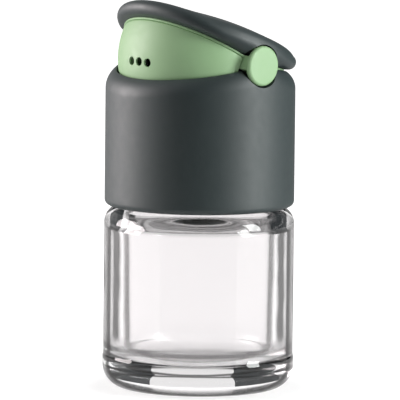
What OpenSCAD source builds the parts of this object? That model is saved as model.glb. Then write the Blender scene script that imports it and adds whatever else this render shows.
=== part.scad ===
// Spice shaker: a heavy glass jar, a screw cap, and a rocking lid that carries a pouring drum.
// The jar stands on Z = 0 with Z up. The pouring holes face -Y, and the lid rocks about X.
// The lid is drawn tipped open, with its back edge down on the rim of the cap.

/* [Glass jar] */
// Diameter of the glass body
jar_d = 52.1; // [44:0.1:63]
// Height of the top of the glass shoulder above the table
jar_h = 50.1; // [41:0.1:61]
// Height of the thicker heel round the base
heel_h = 9.6; // [8:0.1:14]
// How far the heel stands out past the body
heel_step = 0.2; // [0.1:0.05:0.6]
// Rounding under the heel
base_r = 6.4; // [4:0.1:7]
// Rise of the hollow in the underside
punt_h = 1.4; // [0.5:0.1:3]
// Rounding of the outer shoulder
shoulder_r = 4.6; // [3:0.1:5]
// Glass wall just under the shoulder
jar_wall = 4.85; // [3:0.05:5.5]
// How much thicker the wall is at the floor
wall_growth = 0.5; // [0:0.1:2]
// Glass under the floor
floor_t = 7.2; // [5:0.1:9]
// Rounding where the wall meets the floor inside
floor_r = 5.5; // [3:0.1:8]
// Step in from the body to the outside of the neck
neck_inset = 6.5; // [5.4:0.1:7.8]
// Height of the neck above the shoulder
neck_h = 16.4; // [13:0.1:20]
// Glass wall of the neck
neck_wall = 3; // [2:0.1:4]

/* [Screw cap] */
// Height of the cap from its lower edge to the ridge of its rim
cap_h = 40.9; // [34:0.1:49.1]
// How far the cap's side lies inside the jar's side
cap_step = 0.05; // [0:0.05:1]
// Wall of the outer shell
cap_wall = 1.9; // [1.4:0.1:2.4]
// Rounding of the cap's lower edge
cap_edge_r = 1.6; // [0.5:0.1:1.8]
// Rounding of the cap's shoulder
crown_r = 5.7; // [4.6:0.1:6.8]
// Fall of the rim to the front and to the back, in degrees
rim_slope = 11; // [9:0.1:13.2]
// Wall of the threaded skirt and of the cup above it
collar_wall = 1.4; // [1:0.1:1.5]
// Thickness of the deck between the jar and the drum
deck_t = 2; // [1.5:0.1:3]
// Ring of deck inside the wall of the neck
deck_lip = 2.1; // [1:0.1:4]
// Thickness of the gasket on the glass
gasket_t = 1.2; // [0.8:0.1:2]
// Height of the seal that wipes the drum
seal_h = 2.2; // [1.5:0.1:3]
// Number of ribs between the skirt and the shell
rib_count = 8; // [4:2:12]

/* [Rocking lid] */
// How far the lid is drawn tipped, from 0 for shut to 1 for open
tip = 1; // [0:0.05:1]
// Angle left between the open lid and the rim behind it, in degrees
rock_spare = 1; // [0.5:0.5:2]
// Drop from the ridge of the rim to the hinge axis
pivot_drop = 0.7; // [0.5:0.1:1.2]
// Radial room between the shell's bore and the drum
drum_room = 1.4; // [1.2:0.1:2]
// Wall of the drum
drum_wall = 1.8; // [1.2:0.1:2.2]
// Lowest reach of the drum's front, in degrees below the hinge
drum_reach = 44; // [42:0.5:46]
// Diameter of a pouring hole
hole_d = 2.3; // [1.5:0.1:3]
// Angle between pouring holes, in degrees
hole_step = 8.6; // [7:0.1:12]
// Angle of the holes below the hinge with the lid shut, in degrees
hole_drop = 19.5; // [18:0.5:22]
// Wall of the drum round a pouring hole, thin so that spice does not clog it
hole_web = 0.6; // [0.5:0.1:1]
// How far the hinge ring stands out past the drum
band_step = 0.25; // [0.1:0.05:0.4]
// Thickness of the hinge ring's band
band_t = 0.6; // [0.5:0.1:1]
// Diameter of the hinge discs
disc_d = 11; // [9.1:0.1:13.2]
// Set-back of a disc's face from the side of the cap
disc_inset = 0.2; // [0:0.1:1]
// Rounding of the disc's edge
disc_edge_r = 0.9; // [0.3:0.1:1]
// Thickness of a disc, in front of the arm that carries it
disc_t = 1.3; // [1.1:0.1:1.4]
// Depth of the arm that carries a disc, below the hinge axis
arm_drop = 2.5; // [2:0.1:3.5]
// How much narrower the arm is than its disc, at the front and at the back
arm_inset = 0.6; // [0:0.1:0.8]
// Diameter of the hinge pins
pin_d = 4; // [3:0.1:4.5]
// Thickness of the lugs that carry the pins
lug_t = 2.4; // [1.8:0.1:3]
// Step in from the cap's side to the side of the cover
cover_step = 0.6; // [0.3:0.1:1.2]
// Height of the cover's crown above the hinge axis
cover_h = 11.2; // [10.5:0.1:13]
// Height of the cover's widest line above the hinge axis
cover_belt = 4.8; // [4.4:0.1:5.4]
// Rounding of the cover's upper edge
cover_edge_r = 3.6; // [3:0.1:4]
// Rounding of the cover's lower edge
cover_hem_r = 2.4; // [1.8:0.1:2.6]
// Rounding of the cover's widest line
cover_belt_r = 2.1; // [1:0.1:2.3]
// Thickness of the cover's crown over the drum
cover_roof = 2.6; // [2:0.1:3]

/* [Fits] */
// Running gap round what rocks
run_gap = 0.3; // [0.2:0.05:0.4]
// Gap of a seated fit
seat_gap = 0.1; // [0.05:0.05:0.2]
// Radial gap of a hinge pin in its bore
pin_gap = 0.05; // [0.03:0.01:0.1]
// Radial room for the thread between neck and skirt
thread_room = 1.4; // [1:0.1:1.8]
// Gap between the glass shoulder and the cap
cap_gap = 0.2; // [0.1:0.05:1]

/* [Hidden] */
$fn = 96;
hull_fn = 32;
arc_steps = 10;
ring_balls = 72;
big = 200;
cut = 0.01;

dark = [0.20, 0.25, 0.24];
green = [0.62, 0.78, 0.58];
rubber = [0.86, 0.88, 0.85];
glass = [0.88, 0.93, 0.93, 0.4];

// Jar
jar_r = jar_d / 2;
heel_r = jar_r + heel_step;
heel_blend = 0.8;
punt_r = heel_r - base_r - 2.5;
hollow_r = jar_r - jar_wall;
hollow_low_r = hollow_r - wall_growth;
floor_crown = 0.5;
neck_r = jar_r - neck_inset;
bore_r = neck_r - neck_wall;
neck_foot_r = 1;
lip_r = 0.9;
neck_top = jar_h + neck_h;
throat_r = 1;
under_shoulder = 2.8;
hollow_turn_r = hollow_r - bore_r - throat_r;

// Cap
cap_r = jar_r - cap_step;
cap_bottom = jar_h + cap_gap;
ridge_z = cap_bottom + cap_h;
shell_bore_r = cap_r - cap_wall;
collar_r = shell_bore_r - seat_gap;
skirt_bore_r = neck_r + thread_room;
skirt_r = skirt_bore_r + collar_wall;
skirt_bottom = cap_bottom + 1.8;
deck_z = neck_top + gasket_t;
deck_top = deck_z + deck_t;
deck_bore_r = bore_r - deck_lip;
rib_t = 1.2;
bead_r = 0.5;

// Rocking lid, about the hinge axis: it rocks until its underside meets the falling rim
rock_travel = 2 * rim_slope - rock_spare;
open_angle = tip * rock_travel;
pivot_z = ridge_z - pivot_drop;
drum_r = shell_bore_r - drum_room;
band_r = drum_r + band_step;
mouth_r = band_r + run_gap;
disc_r = disc_d / 2;
disc_face = cap_r - disc_inset;
notch_r = disc_r + run_gap + seat_gap;
keel = 0.35;
drum_hollow_r = drum_r - drum_wall;
spigot_wall = 1.4;
spigot_r = drum_hollow_r - run_gap;
socket_r = spigot_r + seat_gap;
cover_pocket_top = cover_h - cover_roof;
spigot_top = cover_pocket_top - run_gap - 1.6;
drum_roof_t = 1.2;
deck_reach = asin(min(1, (pivot_z - deck_top - run_gap) / drum_r));
drum_low = drum_r * sin(min(drum_reach, deck_reach) - rock_travel / 2);
arm_half = disc_r - arm_inset;
lug_r = pin_d;
slot_half = max(arm_half, lug_r) + run_gap;
lug_face = sqrt(pow(socket_r - run_gap, 2) - pow(lug_r, 2));
lug_back = lug_face - lug_t;
arm_face = socket_r + run_gap;
pin_end = disc_face - 1.6;
pin_bore_end = pin_end + seat_gap;
disc_back = disc_face - disc_t;
hub_wall = 0.95;
hub_r = pin_d / 2 + pin_gap + hub_wall;
cover_r = cap_r - cover_step;

// Seal, under the disc notches
seal_top = pivot_z - notch_r - 0.95;
seal_bottom = seal_top - seal_h;
ledge_z = seal_top + seat_gap;

// Points along an arc about c, from angle a to angle b
function arc(c, r, a, b) = [for (i = [0:arc_steps])
    c + r * [cos(a + (b - a) * i / arc_steps), sin(a + (b - a) * i / arc_steps)]];

// Height above the hinge of a plane that climbs to the front and the back
function climb(y) = abs(y) * tan(rim_slope);

// Turns a lid shape from shut to the drawn angle, on the hinge axis
module rocked() {
    translate([0, 0, pivot_z]) rotate([-open_angle, 0, 0]) children();
}

// Both sides of the hinge
module both_sides() {
    for (side = [0, 1]) mirror([side, 0, 0]) children();
}

// A bar along +X on the hinge axis
module hinge_bar(r, from, to) {
    translate([from, 0, 0]) rotate([0, 90, 0]) cylinder(r = r, h = to - from);
}

// Everything under the lid's keel, lowered by drop
module under_keel(drop) {
    half = big / 2;
    rotate([90, 0, 90]) linear_extrude(big, center = true)
        polygon([[-half, -half], [half, -half], [half, keel - drop + climb(half)],
                 [0, keel - drop], [-half, keel - drop + climb(half)]]);
}

// Thick-walled jar with a rounded heel, a hollow underside and a plain neck
module glass_jar() {
    outline = concat(
        [[0, punt_h], [punt_r * 0.6, punt_h * 0.72], [punt_r, 0]],
        arc([heel_r - base_r, base_r], base_r, -90, 0),
        [[heel_r, heel_h - heel_blend], [jar_r, heel_h]],
        arc([jar_r - shoulder_r, jar_h - shoulder_r], shoulder_r, 0, 90),
        arc([neck_r + neck_foot_r, jar_h + neck_foot_r], neck_foot_r, 270, 180),
        arc([neck_r - lip_r, neck_top - lip_r], lip_r, 0, 90),
        arc([bore_r + lip_r, neck_top - lip_r], lip_r, 90, 180),
        arc([bore_r + throat_r, jar_h - under_shoulder + throat_r], throat_r, 180, 270),
        arc([hollow_r - hollow_turn_r, jar_h - under_shoulder - hollow_turn_r], hollow_turn_r, 90, 0),
        arc([hollow_low_r - floor_r, floor_t + floor_r], floor_r, 0, -90),
        [[0, floor_t + floor_crown]]);
    color(glass) rotate_extrude() polygon(outline);
}

// Flat ring between the rim of the glass and the deck
module jar_gasket() {
    color(rubber) translate([0, 0, neck_top]) difference() {
        cylinder(r = neck_r, h = gasket_t);
        translate([0, 0, -cut]) cylinder(r = bore_r - seat_gap, h = gasket_t + 2 * cut);
    }
}

// Threaded skirt, deck and cup in one moulding, with two lugs that carry the hinge pins
module cap_collar() {
    wall = [[skirt_bore_r, skirt_bottom], [skirt_r, skirt_bottom], [skirt_r, deck_z],
            [collar_r, deck_z], [collar_r, seal_bottom], [collar_r - collar_wall, seal_bottom],
            [collar_r - collar_wall, deck_top], [deck_bore_r, deck_top], [deck_bore_r, deck_z],
            [skirt_bore_r, deck_z]];
    color(dark) {
        rotate_extrude() polygon(wall);
        for (i = [0:rib_count - 1]) rotate((i + 0.5) * 360 / rib_count)
            translate([skirt_r - cut, -rib_t / 2, skirt_bottom])
                cube([collar_r - bead_r - skirt_r + cut, rib_t, deck_z - skirt_bottom]);
        both_sides() hinge_lug();
    }
}

// One upright lug with its pin
module hinge_lug() {
    translate([0, 0, pivot_z]) {
        hinge_bar(lug_r, lug_back, lug_face);
        hinge_bar(pin_d / 2, lug_back, pin_end);
    }
    translate([lug_back, -lug_r, deck_top - cut])
        cube([lug_t, 2 * lug_r, pivot_z - deck_top + cut]);
}

// Outer form of the cap: a round body whose rim falls away to the front and the back
module cap_form() {
    hull() {
        translate([0, 0, cap_bottom + cap_edge_r]) rotate_extrude($fn = ring_balls)
            translate([cap_r - cap_edge_r, 0]) circle(r = cap_edge_r, $fn = hull_fn / 2);
        for (i = [0:ring_balls - 1]) {
            turn = i * 360 / ring_balls;
            reach = cap_r - crown_r;
            rotate(turn) translate([reach, 0, ridge_z - climb(reach * sin(turn)) - crown_r / cos(rim_slope)])
                sphere(r = crown_r, $fn = hull_fn);
        }
    }
}

// Smooth outer shell with a round mouth for the drum and a notch for each disc
module cap_shell() {
    color(dark) {
        difference() {
            cap_form();
            translate([0, 0, cap_bottom - cut]) cylinder(r = shell_bore_r, h = ledge_z - cap_bottom + cut);
            translate([0, 0, pivot_z]) sphere(r = mouth_r);
            translate([0, 0, pivot_z]) cylinder(r = mouth_r, h = cap_h);
            both_sides() translate([0, 0, pivot_z]) hinge_bar(notch_r, lug_back, big);
        }
        rotate_extrude() translate([shell_bore_r + cut, deck_z - bead_r - seat_gap])
            intersection() {
                circle(r = bead_r);
                translate([-bead_r, -bead_r]) square([bead_r, 2 * bead_r]);
            }
    }
}

// Soft ring that wipes the drum and covers the holes when the lid is shut
module drum_seal() {
    color(rubber) difference() {
        translate([0, 0, seal_bottom]) cylinder(r = collar_r, h = seal_h);
        translate([0, 0, pivot_z]) sphere(r = drum_r + run_gap);
    }
}

// Room for a lug in the side of the drum, turned about the hinge, up to the height top
module lug_slot(turn, top) {
    rotate([turn, 0, 0]) translate([lug_back - run_gap, -slot_half, -drum_r])
        cube([drum_r, 2 * slot_half, drum_r + top]);
}

// Hollow ball segment about the hinge axis, open below, with three holes in its face
module pour_drum() {
    shelf_t = 1.2;
    color(green) rocked() difference() {
        union() {
            intersection() {
                sphere(r = drum_r);
                under_keel(band_t);
                rotate([rock_travel / 2, 0, 0]) translate([-big / 2, -big / 2, -drum_low]) cube(big);
            }
            translate([0, 0, -band_t]) cylinder(r = spigot_r, h = spigot_top + band_t);
        }
        intersection() {
            sphere(r = drum_hollow_r);
            under_keel(band_t + shelf_t);
        }
        translate([0, 0, -drum_r]) cylinder(r = spigot_r - spigot_wall, h = drum_r + spigot_top - drum_roof_t);
        both_sides() {
            lug_slot(0, lug_r + run_gap);
            lug_slot(rock_travel, 0);
        }
        for (i = [-1:1]) rotate(i * hole_step) rotate([90 + hole_drop, 0, 0])
            translate([0, 0, drum_hollow_r / 2]) {
                cylinder(d = hole_d, h = drum_r);
                cylinder(d = 2 * hole_d, h = drum_r - hole_web - drum_hollow_r / 2);
            }
    }
}

// Thin ring under the cover, with an arm and a round disc at each end of the hinge
module hinge_ring() {
    disc = concat([[0, disc_back], [disc_r, disc_back]],
                  arc([disc_r - disc_edge_r, disc_face - disc_edge_r], disc_edge_r, 0, 90),
                  [[0, disc_face]]);
    color(green) rocked() difference() {
        union() {
            difference() {
                intersection() {
                    sphere(r = band_r);
                    under_keel(0);
                }
                under_keel(band_t);
                translate([0, 0, -big / 2]) cylinder(r = socket_r, h = big);
            }
            both_sides() {
                intersection() {
                    under_keel(0);
                    translate([arm_face, -arm_half, -arm_drop])
                        cube([disc_back - arm_face + cut, 2 * arm_half, 2 * arm_drop]);
                }
                hinge_bar(hub_r, arm_face, disc_back + cut);
                rotate([0, 90, 0]) rotate_extrude() polygon(disc);
            }
        }
        both_sides() hinge_bar(pin_d / 2 + pin_gap, lug_back, pin_bore_end);
    }
}

// A ring of balls of radius r at a reach, each resting on the keel or at least as high as low
module keel_balls(r, reach, low = 0) {
    for (i = [0:ring_balls - 1]) {
        turn = i * 360 / ring_balls;
        rotate(turn) translate([reach, 0, max(low, keel + climb(reach * sin(turn)) + r / cos(rim_slope))])
            sphere(r = r, $fn = hull_fn / 2);
    }
}

// Outer form of the cover: a low crown over an underside that climbs to the front and the back
module cover_form() {
    crown_edge = cover_r - cover_edge_r;
    crown_rise = cover_h - cover_belt - cover_edge_r;
    crown_top_r = (pow(crown_edge, 2) + pow(crown_rise, 2)) / (2 * crown_rise);
    crown_angle = asin(crown_edge / crown_top_r);
    edge_start = 30;
    crown = concat(arc([crown_edge, cover_belt], cover_edge_r, edge_start, 90 - crown_angle),
                   arc([0, cover_h - crown_top_r], crown_top_r, 90 - crown_angle, 90));
    hull() {
        rotate_extrude($fn = ring_balls) polygon(concat([[0, crown[0].y]], crown));
        keel_balls(cover_belt_r, cover_r - cover_belt_r, cover_belt);
        keel_balls(cover_hem_r, cover_r - cover_step - cover_hem_r);
    }
}

// Cover with a socket for the drum and a notch for each disc
module rocker_cover() {
    color(dark) rocked() difference() {
        cover_form();
        translate([0, 0, -big / 2]) cylinder(r = socket_r, h = big / 2 + cover_pocket_top);
        both_sides() hinge_bar(notch_r, lug_back, big);
    }
}

glass_jar();
jar_gasket();
cap_collar();
cap_shell();
drum_seal();
pour_drum();
hinge_ring();
rocker_cover();
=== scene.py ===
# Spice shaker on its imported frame: a thick glass jar, a dark screw cap and a rocking lid that pours.
# Sizes are in millimetres until a mesh is made, in the frame of the part's own source.
from math import asin, atan2, ceil, copysign, cos, degrees, hypot, pi, radians, sin, sqrt, tan

import bmesh
import bpy
from mathutils import Matrix, Vector


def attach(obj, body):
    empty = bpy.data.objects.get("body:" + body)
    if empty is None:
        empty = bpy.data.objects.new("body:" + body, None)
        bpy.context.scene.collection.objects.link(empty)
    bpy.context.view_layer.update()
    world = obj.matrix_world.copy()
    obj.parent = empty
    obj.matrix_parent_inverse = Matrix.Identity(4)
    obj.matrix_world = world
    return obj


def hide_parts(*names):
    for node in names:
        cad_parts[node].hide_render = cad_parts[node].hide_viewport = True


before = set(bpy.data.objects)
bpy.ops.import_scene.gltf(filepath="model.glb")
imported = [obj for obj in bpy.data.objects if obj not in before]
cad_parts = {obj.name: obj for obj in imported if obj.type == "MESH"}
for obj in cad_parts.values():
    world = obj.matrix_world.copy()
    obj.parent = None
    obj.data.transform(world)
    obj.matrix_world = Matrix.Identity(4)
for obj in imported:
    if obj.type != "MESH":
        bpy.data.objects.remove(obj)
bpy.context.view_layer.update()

# Camera
# A long lens a good two metres away, seven degrees above the table, to the right of the pouring side.
# The photograph leans by half a degree, so the camera is rolled by as much.
MM = 0.001
photo_pixels = 400
mm_per_pixel = 0.2741
camera_distance = 2200
camera_turn, camera_rise, camera_roll = radians(48), radians(6.8), radians(0.59)
aim = Vector((0, 0, 51.57))
aim_left_of_centre = 0.65 * mm_per_pixel


def place(name, data):
    """An object in the scene that holds a mesh, a lamp or a lens."""
    thing = bpy.data.objects.new(name, data)
    bpy.context.scene.collection.objects.link(thing)
    return thing


to_camera = Vector((
    sin(camera_turn) * cos(camera_rise), -cos(camera_turn) * cos(camera_rise), sin(camera_rise)
))
level = Vector((cos(camera_turn), sin(camera_turn), 0))
upright = to_camera.cross(level)
camera_right = level * cos(camera_roll) + upright * sin(camera_roll)
camera_up = upright * cos(camera_roll) - level * sin(camera_roll)
camera_place = aim + camera_right * aim_left_of_centre + to_camera * camera_distance
camera_axes = Matrix((camera_right, camera_up, to_camera)).transposed()
lens = bpy.data.cameras.new("photo_camera")
lens.sensor_width = 36
lens.lens = lens.sensor_width * camera_distance / (photo_pixels * mm_per_pixel)
lens.clip_start, lens.clip_end = 0.1, 50
camera = place("photo_camera", lens)
camera.matrix_world = Matrix.Translation(camera_place * MM) @ camera_axes.to_4x4()
bpy.context.scene.camera = camera
bpy.context.scene.view_settings.view_transform = "Standard"


# Glass jar
# A pressed jar of thick clear glass with a heavy base, a proud heel and a hollow underside.
# A two-turn thread is raised on the neck, which stands inside the cap.
jar_r, jar_h = 26.05, 50.1
heel_r, heel_h, heel_blend = 26.25, 9.6, 0.8
base_round, punt_r, punt_h = 6.4, 17.35, 1.4
shoulder_round = 4.6
hollow_r, hollow_low_r = 21.2, 20.7
floor_t, floor_crown, floor_round = 7.2, 0.5, 5.5
neck_r, neck_bore_r, neck_top = 19.55, 16.55, 66.5
neck_foot, lip_round, throat_round = 1.0, 0.9, 1.0
under_shoulder, hollow_turn = 2.8, 3.65
thread_pitch, thread_foot, thread_turns = 4.0, 54.2, 2.0
thread_half, thread_flank, thread_run_out = 0.85, 0.5, 0.06
neck_thread_depth = 0.95
wall_spacing, thread_spacing = 1.5, 0.25
jar_steps = 192


def arc(cx, cz, r, start, end, steps=14):
    """Points of an arc about (cx, cz), from one angle to another in degrees."""
    turns = [radians(start + (end - start) * i / steps) for i in range(steps + 1)]
    return [(cx + r * cos(a), cz + r * sin(a)) for a in turns]


def filled(outline, spacing):
    """The outline with points added so that none lie further apart than the spacing."""
    out = [outline[0]]
    for (r0, z0), (r1, z1) in zip(outline, outline[1:]):
        parts = max(1, ceil(hypot(r1 - r0, z1 - z0) / spacing))
        shares = [i / parts for i in range(1, parts + 1)]
        out += [(r0 + (r1 - r0) * s, z0 + (z1 - z0) * s) for s in shares]
    return out


def all_round(steps, start=0.0):
    """Angles at even steps all the way round an axis."""
    return [2 * pi * (i + start) / steps for i in range(steps)]


def run_out(wound, turns):
    """Share of its depth that a thread keeps, near its ends, after some turns of all its turns."""
    return min(1.0, wound / thread_run_out, (turns - wound) / thread_run_out)


def thread_share(turn, z):
    """Share of the full depth of the neck's right-hand thread at an angle and a height."""
    best = 0.0
    for lap in range(ceil(thread_turns) + 1):
        wound = turn / (2 * pi) + lap
        if 0 < wound < thread_turns:
            off = abs(z - thread_foot - thread_pitch * wound)
            flank = min(1.0, max(0.0, (thread_half - off) / thread_flank))
            best = max(best, run_out(wound, thread_turns) * flank * flank * (3 - 2 * flank))
    return best


def grid_solid(columns, closed_rows=False):
    """Points and faces of a closed form given as columns of points round an axis.

    Closed columns run round a ring's section. Open ones start and end on the axis.
    """
    points, faces = [], []
    if closed_rows:
        rows = len(columns[0])
        for column in columns:
            points += column
        for i in range(len(columns)):
            a, b = i * rows, (i + 1) % len(columns) * rows
            faces += [(a + k, b + k, b + (k + 1) % rows, a + (k + 1) % rows) for k in range(rows)]
        return points, faces
    rows = len(columns[0]) - 2
    points = [columns[0][0], columns[0][-1]]
    for column in columns:
        points += column[1:-1]
    for i in range(len(columns)):
        a, b = 2 + i * rows, 2 + (i + 1) % len(columns) * rows
        faces.append((0, b, a))
        faces += [(a + k, b + k, b + k + 1, a + k + 1) for k in range(rows - 1)]
        faces.append((a + rows - 1, b + rows - 1, 1))
    return points, faces


def make_piece(name, points, faces):
    """A mesh object from points in millimetres, its faces turned outwards."""
    mesh = bpy.data.meshes.new(name)
    mesh.from_pydata([Vector(p) * MM for p in points], [], faces)
    work = bmesh.new()
    work.from_mesh(mesh)
    bmesh.ops.recalc_face_normals(work, faces=work.faces)
    work.to_mesh(mesh)
    work.free()
    return place(name, mesh)


def smooth(piece, sharp_from=32):
    """Smooth shading, broken at edges sharper than an angle in degrees."""
    piece.data.polygons.foreach_set("use_smooth", [True] * len(piece.data.polygons))
    piece.data.set_sharp_from_angle(angle=radians(sharp_from))


def stand_in(piece, node, body, finish):
    """The piece takes the place of a CAD node, with its finish, and rides on that node's body."""
    piece.data.materials.clear()
    piece.data.materials.append(finish)
    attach(piece, body)
    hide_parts(node)


underside = [(0, punt_h), (punt_r * 0.3, punt_h * 0.93), (punt_r * 0.6, punt_h * 0.72), (punt_r, 0)]
heel = arc(heel_r - base_round, base_round, base_round, -90, 0) + [(heel_r, heel_h - heel_blend)]
heel += [(heel_r - 0.07, heel_h - 0.5), (jar_r + 0.04, heel_h - 0.2), (jar_r, heel_h)]
shoulder = arc(jar_r - shoulder_round, jar_h - shoulder_round, shoulder_round, 0, 90, 48)
shoulder += arc(neck_r + neck_foot, jar_h + neck_foot, neck_foot, 270, 180, 6)
neck = [(neck_r, jar_h + neck_foot + thread_spacing), (neck_r, neck_top - lip_round)]
lip = arc(neck_r - lip_round, neck_top - lip_round, lip_round, 0, 90, 8)[1:]
lip += arc(neck_bore_r + lip_round, neck_top - lip_round, lip_round, 90, 180, 8)
throat_z = jar_h - under_shoulder
hollow = arc(neck_bore_r + throat_round, throat_z + throat_round, throat_round, 180, 270, 32)
hollow += arc(hollow_r - hollow_turn, throat_z - hollow_turn, hollow_turn, 90, 0, 48)
hollow += arc(hollow_low_r - floor_round, floor_t + floor_round, floor_round, 0, -90, 48)
hollow += [(floor_round, floor_t + floor_crown * 0.8), (0, floor_t + floor_crown)]
jar_outline = filled(underside + heel + shoulder, wall_spacing) + filled(neck, thread_spacing)
jar_outline += filled(lip + hollow, wall_spacing)
jar_columns = []
for turn in all_round(jar_steps):
    column = []
    for r, z in jar_outline:
        if r > neck_r - 0.01 and z > jar_h + neck_foot:
            r += neck_thread_depth * thread_share(turn, z)
        column.append((r * cos(turn), r * sin(turn), z))
    jar_columns.append(column)
glass_jar = make_piece("jar_glass", *grid_solid(jar_columns))
smooth(glass_jar, sharp_from=50)


def new_finish(name):
    """A material with its node tree and its Principled shader."""
    finish = bpy.data.materials.new(name)
    finish.use_nodes = True
    return finish, finish.node_tree, finish.node_tree.nodes["Principled BSDF"]


def feed(tree, value, socket):
    """Links a value of another node to a socket, or sets a plain number or colour on it."""
    if isinstance(value, bpy.types.NodeSocket):
        tree.links.new(value, socket)
    else:
        socket.default_value = value


def worked(tree, operation, *values):
    """The result of a sum on numbers and on values of other nodes."""
    sum_node = tree.nodes.new("ShaderNodeMath")
    sum_node.operation = operation
    for value, socket in zip(values, sum_node.inputs):
        feed(tree, value, socket)
    return sum_node.outputs["Value"]


def mixed(tree, share, first, second):
    """One colour that goes over to another by a share."""
    mix = tree.nodes.new("ShaderNodeMix")
    mix.data_type = "RGBA"
    for value, name in ((share, "Factor"), (first, "A"), (second, "B")):
        feed(tree, value, mix.inputs[name])
    return mix.outputs["Result"]


def noise(tree, scale, detail=3.0):
    """A noise texture on the piece's own coordinates. Scale is in waves to the metre."""
    where = tree.nodes.new("ShaderNodeTexCoord")
    texture = tree.nodes.new("ShaderNodeTexNoise")
    for name, number in (("Scale", scale), ("Detail", detail), ("Roughness", 0.55)):
        texture.inputs[name].default_value = number
    tree.links.new(where.outputs["Object"], texture.inputs["Vector"])
    return texture.outputs["Fac"]


def ranged(tree, value, low, high, start=0.3, end=0.7):
    """A value that goes from low to high while another goes from start to end."""
    spread = tree.nodes.new("ShaderNodeMapRange")
    limits = (("From Min", start), ("From Max", end), ("To Min", low), ("To Max", high))
    for name, number in limits:
        spread.inputs[name].default_value = number
    tree.links.new(value, spread.inputs["Value"])
    return spread.outputs["Result"]


def from_axis(tree):
    """The distance of a point of the surface from the jar's axis, in metres."""
    where = tree.nodes.new("ShaderNodeTexCoord")
    flat, reach = tree.nodes.new("ShaderNodeVectorMath"), tree.nodes.new("ShaderNodeVectorMath")
    flat.operation, reach.operation = "MULTIPLY", "LENGTH"
    flat.inputs[1].default_value = (1, 1, 0)
    tree.links.new(where.outputs["Object"], flat.inputs[0])
    tree.links.new(flat.outputs["Vector"], reach.inputs[0])
    return reach.outputs["Value"]


def height_up(tree):
    """The height of a point of the surface over the table, in metres."""
    where = tree.nodes.new("ShaderNodeTexCoord")
    parted = tree.nodes.new("ShaderNodeSeparateXYZ")
    tree.links.new(where.outputs["Object"], parted.inputs["Vector"])
    return parted.outputs["Z"]


def bumped(tree, value, depth, strength=1.0):
    """A bump of a depth in millimetres from a texture."""
    bump = tree.nodes.new("ShaderNodeBump")
    bump.inputs["Distance"].default_value = depth * MM
    bump.inputs["Strength"].default_value = strength
    tree.links.new(value, bump.inputs["Height"])
    return bump.outputs["Normal"]


def glass_tint(clear):
    """The colour of glass that lets a share of the light through."""
    return (clear, clear * 0.985, clear * 0.99, 1)


def slant_shade(tree, slant, stops):
    """The glass's colour at each slant, from square on to edge on, darkened at some slants as painted
    shade.
    """
    ramp = tree.nodes.new("ShaderNodeValToRGB")
    while len(ramp.color_ramp.elements) < len(stops):
        ramp.color_ramp.elements.new(0.5)
    for stop, (slant_at, clear) in zip(ramp.color_ramp.elements, stops):
        stop.position, stop.color = slant_at, glass_tint(clear)
    tree.links.new(slant, ramp.inputs["Fac"])
    return ramp.outputs["Color"]


clear_glass, tree, shader = new_finish("clear_pressed_glass")
shader.inputs["Transmission Weight"].default_value = 1
shader.inputs["IOR"].default_value = 1.5
slant = tree.nodes.new("ShaderNodeLayerWeight").outputs["Facing"]
leaving = tree.nodes.new("ShaderNodeNewGeometry").outputs["Backfacing"]
reach, height = from_axis(tree), height_up(tree)

# Painted shade: the glass's colour darkens at some slants of its surface, which draws the dark lines of the
# walls:
# one at the outer edge, one where light leaves just inside it, and one along the hollow.
entering_painted_shade = slant_shade(tree, slant, (
    (0.30, 0.83), (0.57, 0.83), (0.60, 0.40), (0.635, 0.008), (0.71, 0.006), (0.77, 0.1), (0.9, 0.4)
))
leaving_painted_shade = slant_shade(tree, slant, (
    (0.16, 0.83), (0.169, 0.30), (0.176, 0.03), (0.199, 0.022), (0.206, 0.2), (0.212, 0.83)
))
hollow_painted_shade = slant_shade(tree, slant, ((0.48, 0.83), (0.54, 0.74), (0.61, 0.03), (0.73, 0.03), (0.9, 0.6)))
hollow_to, outer_from = hollow_r + 0.5, hollow_r + 1
hollow_side = ranged(tree, reach, 1, 0, hollow_to * MM, outer_from * MM)
wall_painted_shade = mixed(tree, hollow_side, mixed(tree, leaving, entering_painted_shade, leaving_painted_shade), hollow_painted_shade)
# At the shoulder the painted shade gives way to a plain tint.
shoulder_from, shoulder_to, shoulder_clear = jar_h - shoulder_round - 1, jar_h - 2, 0.9
at_shoulder = ranged(tree, height, 0, 1, shoulder_from * MM, shoulder_to * MM)
jar_tint_and_painted_shade = mixed(tree, at_shoulder, wall_painted_shade, glass_tint(shoulder_clear))
tree.links.new(jar_tint_and_painted_shade, shader.inputs["Base Color"])

# Inside, the throat and the floor are duller than the polished walls, which wave a little.
dull_roughness, floor_share, floor_fade = 0.24, 0.8, 3
inside_to, wall_from = hollow_low_r + 0.2, hollow_low_r + 0.4
floor_end = floor_t + floor_round
inside = ranged(tree, reach, 1, 0, inside_to * MM, wall_from * MM)
at_throat = ranged(tree, height, 0, 1, (throat_z - 1) * MM, jar_h * MM)
at_floor = ranged(tree, height, floor_share, 0, floor_end * MM, (floor_end + floor_fade) * MM)
dull = worked(tree, "MULTIPLY", inside, worked(tree, "MAXIMUM", at_throat, at_floor))
polish = ranged(tree, noise(tree, 90), low=0.0, high=0.02)
tree.links.new(worked(tree, "MULTIPLY_ADD", dull, dull_roughness, polish), shader.inputs["Roughness"])
waves = bumped(tree, noise(tree, 55, detail=1.5), depth=0.25, strength=0.5)
tree.links.new(waves, shader.inputs["Normal"])

# Light from the lamps goes on through the glass to the table, weaker after each surface.
lamp_way = tree.nodes.new("ShaderNodeBsdfTransparent")
lamp_way.inputs["Color"].default_value = (0.66, 0.67, 0.67, 1)
either = tree.nodes.new("ShaderNodeMixShader")
tree.links.new(tree.nodes.new("ShaderNodeLightPath").outputs["Is Shadow Ray"], either.inputs["Fac"])
tree.links.new(shader.outputs["BSDF"], either.inputs[1])
tree.links.new(lamp_way.outputs["BSDF"], either.inputs[2])
tree.links.new(either.outputs["Shader"], tree.nodes["Material Output"].inputs["Surface"])
stand_in(glass_jar, "glass_jar", "jar", clear_glass)


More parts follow.
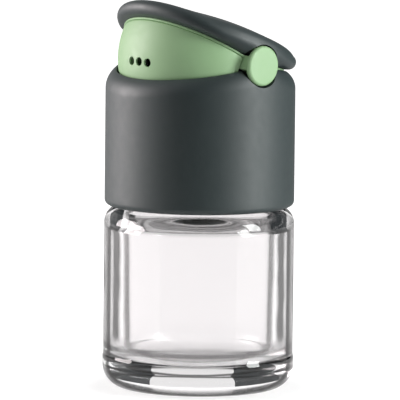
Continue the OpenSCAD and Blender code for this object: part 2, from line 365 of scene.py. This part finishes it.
# Jar gasket
# A flat ring of soft white silicone that lies on the rim of the glass and seals it against the deck.
# It stays in the cap when that comes off.
def show_node(node, finish):
    """Shows a CAD node as it is, with a finish."""
    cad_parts[node].data.materials.clear()
    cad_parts[node].data.materials.append(finish)


def surfaced(tree, shader, colour, rough, rough_waves, grain_waves, grain_depth,
             rough_detail=3.0, grain_detail=3.0):
    """Gives a finish its colour, a roughness that varies between two values, and a fine grain."""
    roughness = ranged(tree, noise(tree, rough_waves, rough_detail), *rough)
    grain = bumped(tree, noise(tree, grain_waves, grain_detail), grain_depth)
    for value, name in ((colour, "Base Color"), (roughness, "Roughness"), (grain, "Normal")):
        tree.links.new(value, shader.inputs[name])


soft_seal, tree, shader = new_finish("soft_white_silicone")
shader.inputs["Subsurface Weight"].default_value = 0.25
shader.inputs["Subsurface Radius"].default_value = (0.002, 0.002, 0.002)
shader.inputs["Subsurface Scale"].default_value = 0.5
seal_tone = mixed(tree, noise(tree, 300), (0.66, 0.68, 0.65, 1), (0.78, 0.80, 0.77, 1))
surfaced(tree, shader, seal_tone, rough=(0.45, 0.65), rough_waves=700, grain_waves=2500, grain_depth=0.03)
show_node("jar_gasket", soft_seal)


# Cap collar
# One moulding of dark polypropylene: threaded skirt, deck, cup and the two lugs with the hinge pins.
# Its thread runs in the spaces of the thread on the glass, half a pitch above it.
skirt_bore_r, collar_thread_depth = 20.95, 1.0
collar_thread_turns, collar_thread_steps = thread_turns - 0.5, 96
thread_root, thread_corner, thread_crest = -0.05, 0.9, 1
corner_half, crest_half = 0.4, 0.25
least_depth, least_width = 0.02, 0.3
collar_thread_form = (
    (thread_root, -thread_half), (thread_corner, -corner_half), (thread_crest, -crest_half),
    (thread_crest, crest_half), (thread_corner, corner_half), (thread_root, thread_half),
)

inner_plastic, tree, shader = new_finish("dark_moulded_plastic")
collar_tone = mixed(tree, noise(tree, 220), (0.022, 0.028, 0.026, 1), (0.032, 0.038, 0.036, 1))
surfaced(tree, shader, collar_tone, rough=(0.38, 0.55), rough_waves=900, grain_waves=3500, grain_depth=0.02)
show_node("cap_collar", inner_plastic)

points, faces = [], []
laps, sides = int(collar_thread_steps * collar_thread_turns), len(collar_thread_form)
for i in range(laps + 1):
    wound = collar_thread_turns * i / laps
    fade = max(least_depth, run_out(wound, collar_thread_turns))
    middle = thread_foot + thread_pitch * (wound + 0.5)
    turn = 2 * pi * wound
    for depth, off in collar_thread_form:
        r = skirt_bore_r - collar_thread_depth * depth * (fade if depth > 0 else 1)
        points.append((r * cos(turn), r * sin(turn), middle + off * max(least_width, fade)))
for i in range(laps):
    a, b = i * sides, (i + 1) * sides
    faces += [(a + k, a + (k + 1) % sides, b + (k + 1) % sides, b + k) for k in range(sides)]
faces += [tuple(range(sides)), tuple(laps * sides + k for k in range(sides))]
collar_thread = make_piece("collar_thread", points, faces)
smooth(collar_thread, sharp_from=35)
collar_thread.data.materials.append(inner_plastic)
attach(collar_thread, "cap")


# Cap shell
# The smooth outer shell, moulded in dark grey-green plastic with a soft matt coat.
# Its rim falls to the front and the back from the hinge, and it has a round notch for each disc.
cap_r, cap_bottom, cap_edge = 26.0, 50.3, 1.6
shell_bore_r, ledge_z = 24.1, 83.75
crown_round, rim_slope = 5.7, radians(11)
ridge_z, pivot_z = 91.2, 90.5
mouth_r, mouth_edge = 23.25, 0.35
notch_r, notch_from, notch_to = 5.9, 17.6, 30.0
bead_z, bead_r, bead_land = 67.1, 0.5, 0.1
foot_start, foot_land, bore_spacing = -98, 0.6, 2
shell_steps, wall_rows, shoulder_rows, edge_rows, mouth_rows = 288, 24, 18, 5, 12


def crown_point(turn, lean):
    """A point of the cap's rounded shoulder. Lean runs from 0 at the wall to 1 at the flat of the rim."""
    reach = cap_r - crown_round
    y = reach * sin(turn)
    z = ridge_z - abs(y) * tan(rim_slope) - crown_round / cos(rim_slope)
    outwards = Vector((cos(turn), sin(turn), 0))
    upwards = Vector((0, copysign(sin(rim_slope), y), cos(rim_slope)))
    return Vector((reach * cos(turn), y, z)) + outwards.slerp(upwards, lean) * crown_round


def mouth_room(p):
    """How far a point lies outside the mouth, a ball about the hinge that goes straight up above it."""
    return (hypot(p.x, p.y) if p.z > pivot_z else (p - Vector((0, 0, pivot_z))).length) - mouth_r


def lean_at(turn, room):
    """The lean at which the shoulder comes within room of the mouth."""
    low, high = 0.0, 1.0
    for _ in range(40):
        lean = (low + high) / 2
        low, high = (lean, high) if mouth_room(crown_point(turn, lean)) > room else (low, lean)
    return lean


def curve_between(a, corner, b, steps):
    """Points of a rounded corner from a to b, both left out."""
    shares = [i / steps for i in range(1, steps)]
    return [a * (1 - s) ** 2 + corner * 2 * s * (1 - s) + b * s ** 2 for s in shares]


def tool_from(work):
    """An object for cutting or joining, from a mesh in the making."""
    mesh = bpy.data.meshes.new("tool")
    work.to_mesh(mesh)
    work.free()
    return place("tool", mesh)


def bar(radius, start, end, steps=160):
    """A bar along X on the hinge, as a tool."""
    work = bmesh.new()
    middle = Vector(((start + end) / 2, 0, pivot_z))
    lay = Matrix.Translation(middle * MM) @ Matrix.Rotation(pi / 2, 4, "Y")
    bmesh.ops.create_cone(work, cap_ends=True, segments=steps, radius1=radius * MM, radius2=radius * MM,
                          depth=abs(end - start) * MM, matrix=lay)
    return tool_from(work)


def carve(piece, tool, operation="DIFFERENCE"):
    """Cuts the tool out of the piece, or joins it to the piece, and removes the tool."""
    step = piece.modifiers.new("carve", "BOOLEAN")
    step.object, step.operation, step.solver = tool, operation, "EXACT"
    shown = piece.evaluated_get(bpy.context.evaluated_depsgraph_get())
    cut = bpy.data.meshes.new_from_object(shown)
    piece.modifiers.remove(step)
    piece.data = cut
    bpy.data.objects.remove(tool)


def shell_mouth(corner):
    """Points of the mouth from its rounded corner down to the ledge."""
    around = atan2(corner.y, corner.x)
    top, points = corner.z - mouth_edge, []
    for k in range(mouth_rows + 1):
        z = top + (ledge_z - top) * k / mouth_rows
        r = mouth_r if z > pivot_z else sqrt(mouth_r ** 2 - (z - pivot_z) ** 2)
        points.append(Vector((r * cos(around), r * sin(around), z)))
    return points


bead_leans = [radians(a) for a in range(0, 181, 20)]
over_bead, under_bead = bead_z + bead_r + bead_land, bead_z - bead_r - bead_land
shell_bore = filled([(shell_bore_r, ledge_z), (shell_bore_r, over_bead)], bore_spacing)
shell_bore += [(shell_bore_r - bead_r * sin(a), bead_z + bead_r * cos(a)) for a in bead_leans]
shell_bore += filled([(shell_bore_r, under_bead), (shell_bore_r, cap_bottom + foot_land)], bore_spacing)
shell_foot = arc(cap_r - cap_edge, cap_bottom + cap_edge, cap_edge, foot_start, 0, 10)
shell_columns = []
for turn in all_round(shell_steps, 0.5):
    out = Vector((cos(turn), sin(turn), 0))
    column = [out * r + Vector((0, 0, z)) for r, z in shell_foot]
    wall_foot, wall_top = column[-1], crown_point(turn, 0)
    column += [wall_foot.lerp(wall_top, k / wall_rows) for k in range(1, wall_rows)]
    edge_lean = lean_at(turn, mouth_edge)
    column += [crown_point(turn, edge_lean * k / shoulder_rows) for k in range(shoulder_rows + 1)]
    corner = crown_point(turn, lean_at(turn, 0))
    mouth = shell_mouth(corner)
    column += curve_between(column[-1], corner, mouth[0], edge_rows) + mouth
    column += [out * r + Vector((0, 0, z)) for r, z in shell_bore]
    shell_columns.append(column)
cap_shell = make_piece("cap_outer_shell", *grid_solid(shell_columns, closed_rows=True))
carve(cap_shell, bar(notch_r, notch_from, notch_to))
carve(cap_shell, bar(notch_r, -notch_to, -notch_from))
smooth(cap_shell)


rubbed_from, rubbed_fully = 20.0, 20.6
edge_from, edge_fully = 0.52, 0.60


def rubbed(tree, colour, worn_colour, share):
    """A colour that goes over to a worn one along the outer edges that hands rub."""
    pointed = tree.nodes.new("ShaderNodeNewGeometry").outputs["Pointiness"]
    edge = ranged(tree, pointed, 0, 1, edge_from, edge_fully)
    outer = ranged(tree, from_axis(tree), 0, share, rubbed_from * MM, rubbed_fully * MM)
    return mixed(tree, worked(tree, "MULTIPLY", edge, outer), colour, worn_colour)


soft_touch, tree, shader = new_finish("soft_touch_grey_green")
coat_share = ranged(tree, noise(tree, 60, detail=4), 0, 1)
coat_tone = mixed(tree, coat_share, (0.0138, 0.0282, 0.0295, 1), (0.0182, 0.0338, 0.0352, 1))
coat = rubbed(tree, coat_tone, worn_colour=(0.07, 0.085, 0.082, 1), share=0.35)
surfaced(tree, shader, coat, rough=(0.51, 0.58), rough_waves=420, rough_detail=5,
         grain_waves=4200, grain_detail=2, grain_depth=0.018)
shader.inputs["Specular IOR Level"].default_value = 1.0
stand_in(cap_shell, "cap_shell", "cap", soft_touch)


# Drum seal
# A soft white ring in the top of the cup that wipes the drum and covers its holes when the lid is shut.
# It is the same silicone as the gasket, and its CAD node is shown with that finish.
show_node("drum_seal", soft_seal)


# Pour drum
# A hollow ball segment of light green plastic about the hinge, open below, with three holes in its face.
# Its spigot is pressed up into the cover, and the thin ring lies on its rim.
open_angle = radians(21)
drum_r, drum_hollow_r, rim_round = 22.7, 20.9, 0.5
keel, band_t, shelf_t = 0.35, 0.6, 1.2
spigot_r, spigot_inner_r = 20.6, 19.2
spigot_top, spigot_roof = Vector((0, 0, 6.7)), Vector((0, 0, 5.5))
drum_low, drum_skew = 12.529, radians(10.5)
slot_from, slot_half, slot_top = 17.3, 5.2, 4.3
hole_r, hole_lip, hole_web = 1.15, 0.18, 0.6
hole_step, hole_drop = radians(8.6), radians(19.5)
drum_steps, drum_rows, drum_hollow_rows, hole_steps = 288, 44, 16, 64
tipped = Matrix.Translation((0, 0, pivot_z)) @ Matrix.Rotation(-open_angle, 4, "X")


def climb(y):
    """Height of the lid's underside over the hinge at a distance to the front or the back."""
    return abs(y) * tan(rim_slope)


def drum_seat(y):
    """Height of the drum's rim, on which the ring lies."""
    return keel - band_t + climb(y)


def drum_shelf(y):
    """Height of the underside of the shelf between the drum and its spigot."""
    return drum_seat(y) - shelf_t


def drum_foot(y):
    """Height of the drum's lower edge, which is cut at a skew."""
    return (y * sin(drum_skew) - drum_low) / cos(drum_skew)


def on_ball(turn, r, height):
    """The point of a ball about the hinge, at an angle round Z, whose height is given by its y."""
    z = 0.0
    for _ in range(30):
        z = height(sqrt(r * r - z * z) * sin(turn))
    out = sqrt(r * r - z * z)
    return Vector((out * cos(turn), out * sin(turn), z))


def on_axis(turn, r, height):
    """The point at a distance from the lid's own axis whose height is given by its y."""
    return Vector((r * cos(turn), r * sin(turn), height(r * sin(turn))))


def over_ball(turn, r, top, bottom, steps):
    """Points of a ball from one height to another, at an angle round Z."""
    a, b = asin(top.z / r), asin(bottom.z / r)
    leans = [a + (b - a) * k / steps for k in range(steps + 1)]
    return [Vector((r * cos(e) * cos(turn), r * cos(e) * sin(turn), r * sin(e))) for e in leans]


def box_tool(low, high, turn=0.0):
    """A box in the lid, turned about the hinge, as a tool."""
    work = bmesh.new()
    size = [h - l for l, h in zip(low, high)]
    middle = Matrix.Translation([(h + l) / 2 for l, h in zip(low, high)])
    lay = tipped @ Matrix.Rotation(turn, 4, "X") @ middle @ Matrix.Diagonal((*size, 1))
    bmesh.ops.create_cube(work, size=1, matrix=Matrix.Scale(MM, 4) @ lay)
    return tool_from(work)


drum_columns = []
for turn in all_round(drum_steps, 0.5):
    out = Vector((cos(turn), sin(turn), 0))
    step = on_axis(turn, spigot_r, drum_seat)
    spigot_edge = out * spigot_r + spigot_top
    column = [spigot_top, out * spigot_r * 0.6 + spigot_top, spigot_edge, step.lerp(spigot_edge, 0.5), step]
    rim = on_ball(turn, drum_r, drum_seat)
    rim_start = rim.lerp(step, rim_round / 2)
    rim_end = on_ball(turn, drum_r, lambda y: drum_seat(y) - rim_round)
    column += [rim_start, *curve_between(rim_start, rim, rim_end, 6)]
    column += over_ball(turn, drum_r, rim_end, on_ball(turn, drum_r, drum_foot), drum_rows)
    foot, shelf = on_ball(turn, drum_hollow_r, drum_foot), on_ball(turn, drum_hollow_r, drum_shelf)
    column += over_ball(turn, drum_hollow_r, foot, shelf, drum_hollow_rows)
    under = on_axis(turn, spigot_inner_r, drum_shelf)
    roof_edge = out * spigot_inner_r + spigot_roof
    column += [under, under.lerp(roof_edge, 0.5), roof_edge]
    column += [out * spigot_inner_r * 0.6 + spigot_roof, spigot_roof]
    drum_columns.append([tipped @ p for p in column])
pour_drum = make_piece("pouring_drum", *grid_solid(drum_columns))
for side in (-1, 1):
    near, far = sorted((side * slot_from, side * 2 * slot_from))
    for turn, top in ((0, slot_top), (open_angle, 0)):
        carve(pour_drum, box_tool((near, -slot_half, -drum_r), (far, slot_half, top), turn))
inner_end, lip_foot, web_foot = drum_hollow_r / 2, drum_r - hole_lip, drum_r - hole_web
drill = [(0, inner_end), (2 * hole_r, inner_end), (2 * hole_r, web_foot)]
drill += [(hole_r, web_foot), (hole_r, lip_foot)]
drill += [(hole_r + hole_lip * (1 - cos(a)), lip_foot + hole_lip * sin(a)) for a in (0.4, 0.8, 1.2, pi / 2)]
drill += [(hole_r + hole_lip, drum_r + 1), (0, drum_r + 1)]
for k in (-1, 0, 1):
    lay = tipped @ Matrix.Rotation(k * hole_step, 4, "Z") @ Matrix.Rotation(pi / 2 + hole_drop, 4, "X")
    columns = [[lay @ Vector((r * cos(a), r * sin(a), z)) for r, z in drill] for a in all_round(hole_steps)]
    carve(pour_drum, make_piece("tool", *grid_solid(columns)))
smooth(pour_drum)

green_plastic, tree, shader = new_finish("light_green_plastic")
green_share = ranged(tree, noise(tree, 70, detail=4), 0, 1)
green_tone = mixed(tree, green_share, (0.295, 0.495, 0.245, 1), (0.32, 0.52, 0.268, 1))
green = rubbed(tree, green_tone, worn_colour=(0.52, 0.70, 0.46, 1), share=0.3)
surfaced(tree, shader, green, rough=(0.50, 0.60), rough_waves=500, rough_detail=5,
         grain_waves=3600, grain_detail=2, grain_depth=0.012)
shader.inputs["Specular IOR Level"].default_value = 1.0
stand_in(pour_drum, "pour_drum", "rocker", green_plastic)


# Hinge ring
# A thin ring of the same green plastic between the drum and the cover, moulded with two arms.
# Each arm ends in a round disc that turns on a pin of the collar, in the notches of the cap and the cover.
band_r, socket_r, band_edge = 22.95, 20.7, 0.2
arm_face, arm_half, arm_drop, arm_round = 21.0, 4.9, 2.5, 0.3
disc_r, disc_face, disc_back = 5.5, 25.8, 24.5
disc_edge, disc_back_edge = 0.9, 0.2
hub_r, pin_bore_r, pin_bore_end = 3.0, 2.05, 24.3
join_depth, hub_inset = 0.05, 0.02
disc_steps, hub_steps, pin_steps = 144, 96, 64


def lid_underside(y):
    """Height of the ring's top, on which the cover lies."""
    return keel + climb(y)


ring_columns = []
for turn in all_round(drum_steps, 0.5):
    top, low = on_ball(turn, band_r, lid_underside), on_ball(turn, band_r, drum_seat)
    top_in, low_in = on_axis(turn, socket_r, lid_underside), on_axis(turn, socket_r, drum_seat)
    down = (low - top).normalized() * band_edge
    inwards = (top_in - top).normalized() * band_edge
    upper = [top + inwards, *curve_between(top + inwards, top, top + down, 4), top + down]
    lower = [low - down, *curve_between(low - down, low, low + inwards, 4), low + inwards]
    ring_columns.append([tipped @ p for p in [top_in, *upper, *lower, low_in]])
hinge_ring = make_piece("hinge_ring_band", *grid_solid(ring_columns, closed_rows=True))
arm = [(y, lid_underside(y)) for y in (-arm_half, 0, arm_half)]
arm += arc(arm_half - arm_round, arm_round - arm_drop, arm_round, 0, -90, 5)
arm += arc(arm_round - arm_half, arm_round - arm_drop, arm_round, -90, -180, 5)
disc = [(0, disc_back), (disc_r * 0.5, disc_back)]
disc += arc(disc_r - disc_back_edge, disc_back + disc_back_edge, disc_back_edge, -90, 0, 4)
disc += arc(disc_r - disc_edge, disc_face - disc_edge, disc_edge, 0, 90, 12)
disc += [(disc_r * 0.5, disc_face), (0, disc_face)]
arm_end, ends = disc_back + join_depth, len(arm)
for side in (-1, 1):
    points = [tipped @ Vector((side * x, y, z)) for x in (arm_face, arm_end) for y, z in arm]
    faces = [(k, (k + 1) % ends, ends + (k + 1) % ends, ends + k) for k in range(ends)]
    faces += [tuple(range(ends)), tuple(range(ends, 2 * ends))]
    carve(hinge_ring, make_piece("tool", points, faces), "UNION")
    carve(hinge_ring, bar(hub_r, side * (arm_face + hub_inset), side * arm_end, hub_steps), "UNION")
    columns = []
    for turn in all_round(disc_steps):
        columns.append([tipped @ Vector((side * x, r * cos(turn), r * sin(turn))) for r, x in disc])
    carve(hinge_ring, make_piece("tool", *grid_solid(columns)), "UNION")
    carve(hinge_ring, bar(pin_bore_r, side * notch_from, side * pin_bore_end, pin_steps))
smooth(hinge_ring)
stand_in(hinge_ring, "hinge_ring", "rocker", green_plastic)


# Rocker cover
# The crowned cover that a thumb presses, in the same dark plastic and coat as the shell.
# Its underside climbs to the front and the back, so it can rock until it meets the falling rim.
cover_r, cover_step, cover_h = 25.4, 0.6, 11.2
belt_z, belt_round, hem_round, cover_edge = 4.8, 2.1, 2.4, 3.6
hem_reach, belt_reach = cover_r - cover_step - hem_round, cover_r - belt_round
pocket_top, pocket_step = 8.6, 3
cover_steps, cover_rows = 288, 70
crown_edge = cover_r - cover_edge
crown_rise = cover_h - belt_z - cover_edge
crown_top_r = (crown_edge ** 2 + crown_rise ** 2) / (2 * crown_rise)
crown_lean = degrees(asin(crown_edge / crown_top_r))


def outer_side(points):
    """The outer and upper side of the convex hull of points, from the lowest to the one on the axis."""
    chain = []
    for p in sorted(points, key=lambda q: (-q[1], q[0])):
        while len(chain) > 1:
            (r0, z0), (r1, z1) = chain[-2:]
            if (r1 - r0) * (p[1] - z0) - (z1 - z0) * (p[0] - r0) < 0:
                break
            chain.pop()
        chain.append(p)
    return chain[::-1]


def evenly(points, count):
    """Count points at even distances along a line of points."""
    far = [0.0]
    for a, b in zip(points, points[1:]):
        far.append(far[-1] + hypot(b[0] - a[0], b[1] - a[1]))
    out, k = [], 0
    for i in range(count):
        want = far[-1] * i / (count - 1)
        while k < len(far) - 2 and far[k + 1] < want:
            k += 1
        share = (want - far[k]) / max(1e-9, far[k + 1] - far[k])
        out.append(tuple(a + (b - a) * share for a, b in zip(points[k], points[k + 1])))
    return out


# The arcs of the hem, the belt and the crown's edge overrun, and only the outer side of them all is kept.
crown = arc(crown_edge, belt_z, cover_edge, 30, 90 - crown_lean, 24)
crown += arc(0, cover_h - crown_top_r, crown_top_r, 90 - crown_lean, 90, 24)
cover_columns = []
for turn in all_round(cover_steps, 0.5):
    hem_z = lid_underside(hem_reach * sin(turn)) + hem_round / cos(rim_slope)
    belt_low = lid_underside(belt_reach * sin(turn)) + belt_round / cos(rim_slope)
    hem_lean = degrees(atan2(climb(sin(turn)), 1))
    form = arc(hem_reach, hem_z, hem_round, hem_lean - 90, 60, 60)
    form += arc(belt_reach, max(belt_z, belt_low), belt_round, -75, 80, 60) + crown
    pocket = [(0, pocket_top), (socket_r * 0.6, pocket_top), (socket_r, pocket_top)]
    pocket += [(socket_r, pocket_top - pocket_step), (socket_r, lid_underside(socket_r * sin(turn)))]
    outline = pocket + evenly(outer_side(form), cover_rows)[:-1] + [(0, cover_h)]
    cover_columns.append([tipped @ Vector((r * cos(turn), r * sin(turn), z)) for r, z in outline])
rocker_cover = make_piece("rocker_thumb_cover", *grid_solid(cover_columns))
carve(rocker_cover, bar(notch_r, notch_from, notch_to))
carve(rocker_cover, bar(notch_r, -notch_to, -notch_from))
smooth(rocker_cover)
stand_in(rocker_cover, "rocker_cover", "rocker", soft_touch)


# Studio
# A wide white floor and a white surround that the camera and the glass see, with a soft box at each side.
# Two dark cards are met only by light through the glass, and two show only in gloss.
def white_share(tree, in_satin):
    """One for the camera and for light through glass, in_satin for gloss, and nought for other light."""
    path = tree.nodes.new("ShaderNodeLightPath")
    satin = worked(tree, "MULTIPLY", path.outputs["Is Glossy Ray"], in_satin)
    seen = worked(tree, "MAXIMUM", path.outputs["Is Camera Ray"], path.outputs["Is Transmission Ray"])
    return worked(tree, "MAXIMUM", satin, seen)


def towards(angle, rise=0.0):
    """The way from the object at an angle to the right of the camera, seen from above."""
    a, e = radians(angle), radians(rise)
    ahead = Vector((to_camera.x, to_camera.y, 0)).normalized()
    return (ahead * cos(a) + level * sin(a)) * cos(e) + Vector((0, 0, sin(e)))


floor_half, under_jar = 4, 0.00005
floor_mesh = bpy.data.meshes.new("studio_floor")
floor_corners = [(x * floor_half, y * floor_half, 0) for x, y in ((-1, -1), (1, -1), (1, 1), (-1, 1))]
floor_mesh.from_pydata(floor_corners, [], [(0, 1, 2, 3)])
floor = place("studio_floor", floor_mesh)
floor.location.z = -under_jar

# The floor's own glow is weaker close to the jar, a painted shadow round its foot that also lets the jar's
# real shadow show.
glow_in_painted_shadow, glow_far, near_jar, clear_of_jar = 0.38, 0.80, 27, 42
floor_in_satin = 0.1
paper, tree, shader = new_finish("white_paper")
shader.inputs["Base Color"].default_value = (0.72, 0.72, 0.72, 1)
shader.inputs["Roughness"].default_value = 0.9
shader.inputs["Specular IOR Level"].default_value = 0.1
glow = tree.nodes.new("ShaderNodeEmission")
glow.inputs["Color"].default_value = (1, 1, 1, 1)
glow_with_painted_shadow = ranged(tree, from_axis(tree), glow_in_painted_shadow, glow_far, near_jar * MM, clear_of_jar * MM)
glow_seen = worked(tree, "MULTIPLY", white_share(tree, floor_in_satin), glow_with_painted_shadow)
tree.links.new(glow_seen, glow.inputs["Strength"])
both = tree.nodes.new("ShaderNodeAddShader")
tree.links.new(shader.outputs["BSDF"], both.inputs[0])
tree.links.new(glow.outputs["Emission"], both.inputs[1])
tree.links.new(both.outputs["Shader"], tree.nodes["Material Output"].inputs["Surface"])
floor_mesh.materials.append(paper)

world_light, world_white, world_in_satin = 0.36, 1.0, 0.05
world = bpy.data.worlds.new("studio_surround")
bpy.context.scene.world = world
world.use_nodes = True
tree = world.node_tree
sky = tree.nodes["Background"]
sky.inputs["Color"].default_value = (1, 1, 1, 1)
sky_level = ranged(tree, white_share(tree, world_in_satin), world_light, world_white, 0, 1)
tree.links.new(sky_level, sky.inputs["Strength"])

lamps_face = Vector((0, 0, 0.06))


def soft_box(name, angle, rise, distance, width, height, power, colour):
    """An oblong soft lamp that faces the middle of the object. Lengths are in metres."""
    lamp = bpy.data.lights.new(name, "AREA")
    lamp.shape, lamp.size, lamp.size_y = "RECTANGLE", width, height
    lamp.energy, lamp.color = power, colour
    box = place(name, lamp)
    way = towards(angle, rise)
    box.location = lamps_face + way * distance
    box.rotation_mode = "QUATERNION"
    box.rotation_quaternion = way.to_track_quat("Z", "Y")


soft_box("left_soft_box", angle=-103, rise=6, distance=0.9, width=0.48, height=0.8,
         power=11.8, colour=(1, 0.93, 0.935))
soft_box("right_soft_box", angle=70.5, rise=12, distance=0.9, width=0.27, height=0.8,
         power=9.2, colour=(0.97, 1, 0.99))

dark_paper, tree, shader = new_finish("dark_card")
shader.inputs["Base Color"].default_value = (0.03, 0.037, 0.04, 1)
shader.inputs["Roughness"].default_value = 0.9
card_bends, over_floor = 12, 0.001


def card(name, start, end, distance, height, met_by):
    """An upright dark card, bent round the object, met by one kind of light. Lengths are in metres."""
    feet = [towards(start + (end - start) * k / card_bends) * distance for k in range(card_bends + 1)]
    points = [(p.x, p.y, z) for z in (over_floor, height) for p in feet]
    mesh = bpy.data.meshes.new(name)
    across = len(feet)
    mesh.from_pydata(points, [], [(k, k + 1, k + across + 1, k + across) for k in range(card_bends)])
    mesh.materials.append(dark_paper)
    upright_card = place(name, mesh)
    for kind in ("camera", "diffuse", "glossy", "transmission", "shadow"):
        setattr(upright_card, "visible_" + kind, kind == met_by)


card("left_back_card", start=-165, end=-134, distance=0.6, height=0.3, met_by="transmission")
card("right_back_card", start=116, end=160, distance=0.6, height=0.3, met_by="transmission")
card("right_side_card", start=90, end=158, distance=0.6, height=0.4, met_by="glossy")
card("front_card", start=-42, end=42, distance=0.12, height=0.6, met_by="glossy")
